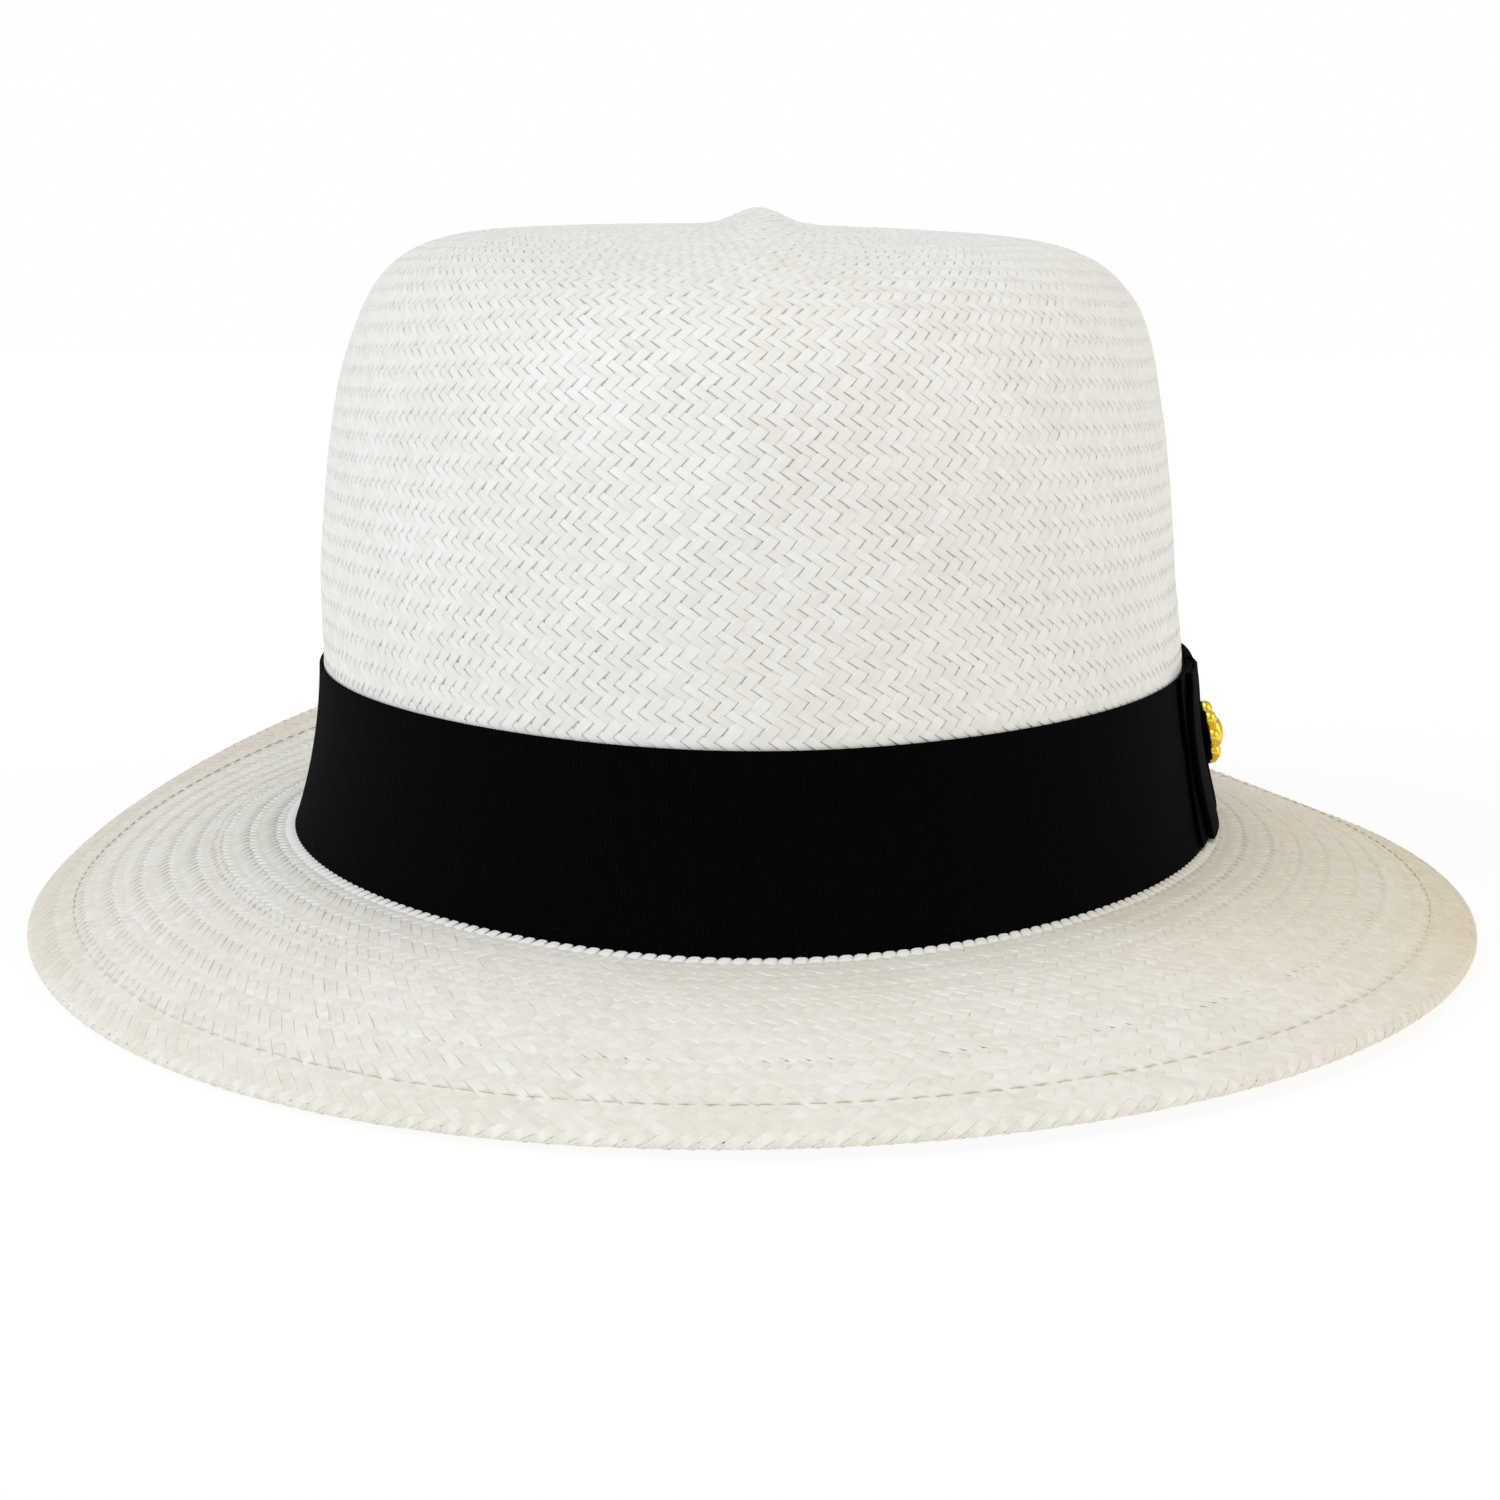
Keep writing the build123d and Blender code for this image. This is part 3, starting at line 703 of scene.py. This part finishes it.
def build_break_row():
    """The row of short wide loops of straw at the foot of the crown, under the ribbon's edge."""
    count, steps = BREAK_LOOPS, 9
    share = np.linspace(-1, 1, steps)
    spots = np.append(even_angles(4000), tau)
    place = (np.arange(count)[:, None] - 0.16 * share[None, :]) / count
    angle = np.interp(place % 1.0, np.arange(4001) / 4000, spots)
    hump = np.cos(share * pi / 2 * 0.9)
    along = (share + 1.0) / 2
    outward = -(1.5 + 1.3 * share)[None, :] + 0 * angle
    centre = wall(0.0, angle, outward)
    centre[..., 2] = (0.06 - 0.55 * along**2)[None, :] - front_dip(angle)
    around = wall(0.0, angle + 0.001, outward) - wall(0.0, angle, outward)
    up = unit(np.cross(np.gradient(centre, axis=1), -around))
    pitch = BREAK_LENGTH / count
    half_width = np.broadcast_to(0.5 * pitch * (0.86 + 0.10 * share), centre.shape[:2])
    half_thick = np.broadcast_to(0.12 + 0.14 * hump, centre.shape[:2])
    made = strands(centre, up, half_width, half_thick, rng.uniform(0, 0.3, count))
    # Height 0 at the inner end: the loops' edges get the most painted shade next to the ribbon
    made["colour"].reshape(count, steps, -1, 4)[..., 1] = smooth(share + 0.9)[:, None]
    brim_warmth_and_warm_light(made)
    add_strands("break_row", made, break_straw, "straw", ["straw_body"])


def build_hem_stitches():
    """The machine stitches that hold the folded rim."""
    count, steps = HEM_STITCHES, 7
    reach = 0.36            # half of a stitch, as a share of the room it has
    share = np.linspace(-reach, reach, steps)
    angle = tau * (np.arange(count)[:, None] + share[None, :]) / count
    arch = np.cos(share / reach * pi / 2)
    drop = (0.30 - 0.22 * arch)[None, :] + 0 * angle
    centre = brim_point(angle, np.full(angle.shape, STITCH_INSET), drop)[0]
    up = np.broadcast_to(UP, centre.shape)
    half = np.broadcast_to(0.10 + 0.08 * arch, centre.shape[:2])
    made = strands(centre, up, half, half, rng.uniform(0, 1, count))
    add_strands("brim_stitches", made, straw_thread, "straw_thread", ["brim_stitching"])


def build_brim_wire():
    """The covered wire inside the folded rim."""
    sides = 8
    turn = tau * np.arange(sides) / sides
    angle = tau * np.arange(WIRE_COUNT)[:, None] / WIRE_COUNT
    angle, inset, drop = np.broadcast_arrays(angle, WIRE_INSET - WIRE_R * np.cos(turn),
                                             STRAW_MIDDLE + EDGE_R - 0.02 + WIRE_R * np.sin(turn))
    make_piece("rim_wire", brim_point(angle, inset, drop)[0], [ring_quads(WIRE_COUNT, sides)], wire_cover,
               slot="edge_wire", replaces=["brim_wire"])


# ---------------------------------------------------------------- ribbon


def build_band():
    """The ribbon round the foot of the crown."""
    section = tape_section(BAND_FOOT, BAND_H, -BAND_OUT, -BAND_IN)
    points, faces, uv = ring_solid(band_wall, section, BAND_COUNT)
    band = make_piece("ribbon_band", points, faces, black_ribbon, slot="ribbon", replaces=["hat_band"], uv=uv)


def side_point(y, z, outset):
    """A point over the wall on the wearer's left, by its distance back from the middle."""
    return wall(z, np.arcsin(y / (WALL_Y + 1.5)), -np.asarray(outset))


def sheet_solid(outer, inner):
    """A closed thin solid between two grids of points; returns points, faces and uv."""
    rows, columns = outer.shape[:2]
    index = np.arange(rows * columns).reshape(rows, columns)
    other = index + rows * columns

    def cells(grid):
        return np.stack([grid[:-1, :-1], grid[1:, :-1], grid[1:, 1:], grid[:-1, 1:]], axis=-1).reshape(-1, 4)

    def rim(a, b):
        return np.stack([a[:-1], a[1:], b[1:], b[:-1]], axis=-1)

    faces = np.concatenate([
        cells(index), cells(other)[:, ::-1], rim(index[:, 0], other[:, 0])[:, ::-1],
        rim(index[:, -1], other[:, -1]), rim(index[0], other[0]), rim(index[-1], other[-1])[:, ::-1]])
    u = np.broadcast_to(np.linspace(0, 1, rows)[:, None], (rows, columns))
    v = np.broadcast_to(np.linspace(0, 0.48, columns)[None, :], (rows, columns))
    flat = np.concatenate([np.stack([u, v], -1).reshape(-1, 2), np.stack([u, v + 0.5], -1).reshape(-1, 2)])
    return np.concatenate([outer.reshape(-1, 3), inner.reshape(-1, 3)]), [faces], flat[faces.ravel()]


def build_tail():
    """The lowest layer of the bow, with notched ends that stand a little off the band."""
    rows, columns = 61, 25
    share = np.linspace(-1, 1, rows)[:, None]
    height = np.linspace(0, 1, columns)[None, :]
    notch = TAIL_NOTCH * (1 - np.abs(2 * height - 1)) * np.abs(share) ** 6
    y = share * TAIL_HALF - np.sign(share) * notch
    z = 0.9 + 32.4 * height + 0 * y
    curl = 0.3 * np.abs(share) ** 5
    outer = side_point(y, z, TAIL_OUT + curl)
    inner = side_point(y, z, TAIL_IN + curl)
    points, faces, uv = sheet_solid(outer, inner)
    tail = make_piece("bow_tail_ribbon", points, faces, bow_ribbon, slot="ribbon", replaces=["bow_tail"],
                      uv=uv)


def build_loop():
    """The flat loop of the bow: a ribbon folded back on itself at both ends."""
    straight, bend, rows = 40, 9, 23
    half, near, far = LOOP_HALF, LOOP_IN, LOOP_OUT

    def track(offset):
        """The loop's line round the fold, seen from above, moved out by offset."""
        middle, radius = (near + far) / 2, (far - near) / 2 + offset
        across = np.linspace(-half, half, straight)
        turn = np.linspace(-pi / 2, pi / 2, bend + 2)[1:-1]
        y = np.concatenate([across, half + radius * np.cos(turn[::-1]), across[::-1],
                            -half - radius * np.cos(turn)])
        out = np.concatenate([np.full(straight, radius), radius * np.sin(turn[::-1]),
                              np.full(straight, -radius), radius * np.sin(turn)])
        puff = 0.25 * np.sin(np.clip(np.abs(y) / half, 0, 1) * pi) * (out > 0)
        return y, middle + out + puff

    heights = np.linspace(-1, 1, rows)[:, None]
    layers = []
    for offset in (0.0, -LOOP_THICK):
        y, out = track(offset)
        pinch = 1.0 - 0.05 * np.exp(-((y / 10.0) ** 2))
        z = 17.2 + 16.3 * heights * pinch[None, :]
        lean = 0.2 * smooth((np.abs(heights) - 0.86) / 0.14) * (out > 2.5)
        layers.append(side_point(np.broadcast_to(y, z.shape), z, out[None, :] - lean))
    outer, inner = (np.concatenate([g, g[:, :1]], axis=1).transpose(1, 0, 2) for g in layers)
    points, faces, uv = sheet_solid(outer, inner)
    loop = make_piece("bow_loop_ribbon", points, faces, bow_ribbon, slot="ribbon", replaces=["bow_loop"],
                      uv=uv)


def build_knot():
    """The short ribbon wrapped over the middle of the bow, pinched at its waist."""
    line = np.array([(33.4, 1.15), (34.35, 1.5), (34.3, 2.5), (33.0, 3.9), (31.0, 4.85), (27.5, 5.14),
                     (22.0, 5.16), (16.4, 5.16), (10.0, 5.16), (5.5, 5.14), (2.6, 4.8), (0.9, 3.9),
                     (0.3, 2.6), (0.5, 1.3)])
    line[:, 1] = TAIL_IN + (line[:, 1] - line[0, 1]) * (KNOT_OUT - TAIL_IN) / (line[7, 1] - line[0, 1])
    spans = np.append(0, np.cumsum(np.linalg.norm(np.diff(line, axis=0), axis=1)))
    steps, across = 61, 17
    place = np.linspace(0, spans[-1], steps)
    track = np.stack([np.interp(place, spans, line[:, i]) for i in range(2)], -1)
    for _ in range(6):
        track[1:-1] = (track[:-2] + 2 * track[1:-1] + track[2:]) / 4
    ahead = unit(np.gradient(track, axis=0))
    inward = np.stack([-ahead[:, 1], ahead[:, 0]], -1)
    inner_track = track + KNOT_THICK * inward * np.sign((inward @ np.array([0.0, -1.0])).mean())
    share = np.linspace(-1, 1, across)[None, :]
    waist = (KNOT_HALF - KNOT_PINCH * np.exp(-(((track[:, 0] - 16.8) / 7.0) ** 2)))[:, None]
    layers = []
    for path in (track, inner_track):
        folds = 0.06 * np.cos(share * 3 * pi) * smooth((path[:, 1:2] - 2.6) / 1.0)
        edge = 0.15 * smooth((np.abs(share) - 0.8) / 0.2)
        layers.append(side_point(share * waist, np.broadcast_to(path[:, :1], (steps, across)),
                                 path[:, 1:2] + folds - edge))
    points, faces, uv = sheet_solid(layers[0], layers[1])
    knot = make_piece("bow_knot_ribbon", points, faces, bow_ribbon, slot="ribbon", replaces=["bow_knot"],
                      uv=uv[:, ::-1])


def build_ribbon_stitches():
    """Small black stitches: tacks at the foot of the band, and four through the bow's tail."""
    steps = 7
    share = np.linspace(-1, 1, steps)
    arch = np.sqrt(np.maximum(1 - share**2, 0.04))
    tacks = tau * (np.arange(8)[:, None] + 0.5) / 8 + 1.0 / WALL_Y * share
    band_line = wall(1.9, tacks, -(BAND_OUT - 0.05 + 0.25 * arch) + 0 * tacks)
    y = np.array([-29.0, -29.0, 29.0, 29.0])[:, None] + 0.8 * share
    z = np.array([4.0, 30.4, 4.0, 30.4])[:, None] + 0.4 * share
    bow_line = side_point(y, z, TAIL_OUT + 0.1 + 0.25 * arch + 0 * y)
    rows = ("band_tacks", band_line, "band_stitches"), ("bow_tacks", bow_line, "bow_stitches")
    for name, line, node in rows:
        outward = unit(line * np.array([1 / WALL_X**2, 1 / WALL_Y**2, 0.0]))
        half = np.broadcast_to(0.17 * arch, line.shape[:2])
        made = strands(line, outward, half, half, np.zeros(len(line)))
        add_strands(name, made, black_thread, "black_thread", [node])


# ---------------------------------------------------------------- pin

PIN_HEIGHT = 16.4       # of the pin's axis, where it meets the wall
PIN_BASE = 4.5          # of the rosette, out along the axis
PETALS, PETAL_RING = 8, 4.8
pin_lean = float(wall(PIN_HEIGHT - 1, 0.0, 0.0)[0] - wall(PIN_HEIGHT + 1, 0.0, 0.0)[0])
pin_axis = unit(np.array([2.0, 0.0, pin_lean]))
pin_centre = wall(PIN_HEIGHT, 0.0, 0.0)


def turned(profile, middle=(0.0, 0.0), count=48):
    """A closed turned shape on the pin, from (radius, height) pairs that go from its foot to its top.

    Its own axis is beside the pin's, by middle: back and up.
    """
    radius, height = np.array(profile).T[:, :, None]
    turn = tau * np.arange(count) / count
    back = middle[0] + radius * np.cos(turn)
    up = middle[1] + radius * np.sin(turn)
    upward = np.cross(pin_axis, BACKWARD)
    points = (pin_centre + (PIN_BASE + height)[..., None] * pin_axis
              + back[..., None] * BACKWARD + up[..., None] * upward)
    index = np.arange(points.shape[0] * count).reshape(-1, count)
    ahead = np.roll(index, -1, axis=1)
    quads = np.stack([index[:-1], ahead[:-1], ahead[1:], index[1:]], axis=-1).reshape(-1, 4)[:, ::-1]
    return points, quads, np.stack([index[0], index[-1, ::-1]])


def build_pin():
    """A gold rosette: a back plate, eight round petals and a domed middle."""
    plate = [(0.01, -0.75), (4.3, -0.75), (4.6, -0.6), (4.9, -0.3), (4.9, 0.6), (4.6, 0.75), (0.01, 0.75)]
    petal = [(0.01, -0.75), (1.6, -0.75), (1.78, -0.5), (1.82, 0.2), (1.7, 0.9), (1.32, 1.45),
             (0.7, 1.78), (0.01, 1.86)]
    dome = [(0.01, 0.3), (3.3, 0.3), (3.5, 1.0), (3.4, 1.7), (3.0, 2.4), (2.25, 2.95),
            (1.15, 3.32), (0.01, 3.42)]
    shapes = [turned(plate), turned(dome)]
    for turn in tau * np.arange(PETALS) / PETALS:
        shapes.append(turned(petal, (PETAL_RING * np.cos(turn), PETAL_RING * np.sin(turn)), 28))
    points, faces, done = [], [], 0
    for grid, quads, caps in shapes:
        points.append(grid.reshape(-1, 3))
        faces += [quads + done, caps + done]
        done += points[-1].shape[0]
    make_piece("pin_rosette", np.concatenate(points), faces, gold, body="pin", slot="gold",
               replaces=["pin_ornament"], sharp=60.0)


# ---------------------------------------------------------------- sweatband


def build_sweatband():
    """The leather, a little thicker at its turned upper edge."""
    section = tape_section(1.7, 33.6, 0.02, 0.88, rows=18, round_off=0.4)
    section = [(z, inset + (0.22 * float(smooth((z - 31.4) / 1.2)) if inset > 0.5 else 0.0))
               for z, inset in section]
    points, faces, uv = ring_solid(leather, section, LEATHER_COUNT)
    make_piece("sweatband_leather", points, faces, tan_leather, slot="leather", replaces=["sweatband"], uv=uv)


def build_reed():
    """The covered reed along the foot of the leather."""
    turn = tau * np.arange(10) / 10
    section = [(2.35 + 0.55 * np.sin(t), -0.62 - 0.55 * np.cos(t)) for t in turn]
    points, faces, uv = ring_solid(leather, section, LEATHER_COUNT)
    make_piece("sweatband_reed_bead", points, faces, reed_cover, slot="reed", replaces=["sweatband_reed"],
               uv=uv)


def build_sweatband_stitches():
    """A zigzag of tan stitches along the foot of the leather."""
    count, steps = 300, 6
    share = np.linspace(-1, 1, steps)
    arch = np.sqrt(np.maximum(1 - share**2, 0.05))
    middle = even_angles(count)[:, None]
    slope = np.where(np.arange(count) % 2 == 0, 1.0, -1.0)[:, None]
    line = leather(3.9 + 0.75 * slope * share, middle + 0.0092 * share, 0.92 + 0.12 * arch + 0 * middle)
    inward = unit(-line * LEVEL)
    half = np.broadcast_to(0.16 * arch, line.shape[:2])
    made = strands(line, inward, half, half, np.zeros(count))
    add_strands("sweatband_stitches", made, tan_thread, "tan_thread", ["sweatband_stitching"])


def back_strip(name, rows, low, high, half, inner, outer, material, slot, node, wave=0.0):
    """A thin piece on the sweatband at the back, between two heights."""
    share = np.linspace(-1, 1, rows)[:, None]
    height = np.linspace(0, 1, 15)[None, :]
    angle = pi / 2 - np.arcsin(share * half / BACK_R) + 0 * height
    z = low + (high - low) * height + wave * np.cos(share * 3 * pi)
    face = leather(z + 0 * angle, angle, inner + 0 * angle)
    back = leather(z + 0 * angle, angle, outer + 0 * angle)
    points, faces, uv = sheet_solid(face, back)
    make_piece(name, points, faces, material, slot=slot, replaces=[node], uv=uv)


def build_small_bow():
    """The small bow on the inside of the sweatband, at the back."""
    steps = 25
    parts = []
    for side in (-1, 1):
        turn = np.linspace(0, tau, steps)
        reach = side * 6.2 * (0.5 - 0.5 * np.cos(turn))
        rise = 1.5 * np.sin(turn) * (0.4 + 0.6 * np.sin(turn / 2))
        line = leather(9.3 + rise, pi / 2 - reach / BACK_R, 1.35 + 0.25 * np.sin(turn))
        tail = np.linspace(0, 1, steps)
        hang = leather(9.2 - 2.1 * tail, pi / 2 - side * (0.4 + 4.8 * tail) / BACK_R, 1.2 + 0 * tail)
        parts += [line, hang]
    centre = np.stack(parts)
    inward = unit(-centre * LEVEL)
    made = strands(centre, inward, np.full(centre.shape[:2], 0.62), np.full(centre.shape[:2], 0.2),
                   np.zeros(len(parts)))
    rows = 9
    bulge = 1.55 + 0.15 * np.sin(np.linspace(0, pi, rows))
    knot_line = leather(np.linspace(8.3, 10.3, rows), np.full(rows, pi / 2), bulge)[None]
    knot = strands(knot_line, unit(-knot_line * LEVEL), np.full((1, rows), 0.85),
                   0.3 * np.sin(np.linspace(0.3, pi - 0.3, rows))[None], np.zeros(1))
    add_strands("sweatband_small_bow", joined([made, knot]), bow_satin, "bow_satin", ["sweatband_bow"])


def dress_cad_nodes():
    """The CAD nodes that stay in sight keep their shape and get their own materials."""
    for node in ("pin_post", "pin_clutch"):
        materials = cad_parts[node].data.materials
        materials.clear()
        materials.append(steel)


# ---------------------------------------------------------------- stage


def build_stage():
    """A pale floor, soft studio light and the camera."""
    scene = bpy.context.scene
    scene.view_settings.view_transform = "Standard"
    bpy.ops.mesh.primitive_plane_add(size=12.0)
    floor = bpy.context.object
    floor.name = "floor"
    paint = Paint("floor_paint", Roughness=0.9, Specular_IOR_Level=0.1)
    paint.put(paint.mix(paint.noise(paint.place(), 3.0), (0.20, 0.20, 0.20, 1), (0.21, 0.21, 0.21, 1)),
              paint.shader.inputs["Base Color"])
    paint.put((1.0, 1.0, 1.0, 1.0), paint.shader.inputs["Emission Color"])
    paint.put(0.80, paint.shader.inputs["Emission Strength"])
    floor.data.materials.append(paint.material)

    world = bpy.data.worlds.new("studio")
    world.use_nodes = True
    scene.world = world
    nodes, links = world.node_tree.nodes, world.node_tree.links
    background = nodes["Background"]
    path = nodes.new("ShaderNodeLightPath")
    strength = nodes.new("ShaderNodeMapRange")
    strength.inputs["To Min"].default_value = 0.56
    strength.inputs["To Max"].default_value = 1.0
    links.new(path.outputs["Is Camera Ray"], strength.inputs["Value"])
    links.new(strength.outputs[0], background.inputs["Strength"])
    background.inputs["Color"].default_value = (1.0, 1.0, 1.0, 1.0)

    # Each light: the direction it comes from, its strength, how wide it looks in degrees, and its colour
    lights = (("key", (-0.78, -0.38, 0.50), 0.99, 40.0, (0.84, 0.92, 1.0)),
              ("warm", (0.85, -0.25, 0.40), 0.62, 50.0, (1.0, 0.92, 0.79)),
              ("front", (-0.05, -0.75, 0.66), 0.15, 40.0, (1.0, 0.99, 0.97)),
              ("top", (0.0, -0.30, 1.00), 0.55, 35.0, (1.0, 1.0, 0.99)))
    for name, source, energy, width, colour in lights:
        light = bpy.data.lights.new(name, "SUN")
        light.energy, light.angle, light.color = energy, radians(width), colour
        lamp = bpy.data.objects.new(name, light)
        lamp.rotation_euler = Vector(source).to_track_quat("Z", "Y").to_euler()
        scene.collection.objects.link(lamp)

    camera = bpy.data.cameras.new("camera")
    camera.lens, camera.sensor_width = CAMERA_LENS, SENSOR_WIDTH
    view = bpy.data.objects.new("camera", camera)
    pitch = Matrix.Rotation(radians(90.0 - CAMERA_DOWN), 4, "X")
    roll = Matrix.Rotation(radians(CAMERA_ROLL), 4, "Z")
    view.matrix_world = Matrix.Translation(CAMERA_PLACE) @ pitch @ roll
    scene.collection.objects.link(view)
    scene.camera = view


build_crown()
build_brim()
build_break_row()
build_hem_stitches()
build_brim_wire()
build_band()
build_tail()
build_loop()
build_knot()
build_ribbon_stitches()
build_pin()
build_sweatband()
build_reed()
build_sweatband_stitches()
back_strip("sweatband_join_tape", 9, 3.7, 32.6, 5.0, -0.08, -0.45, tan_leather, "leather", "sweatband_join")
build_small_bow()
build_crown_start()
dress_cad_nodes()
build_stage()
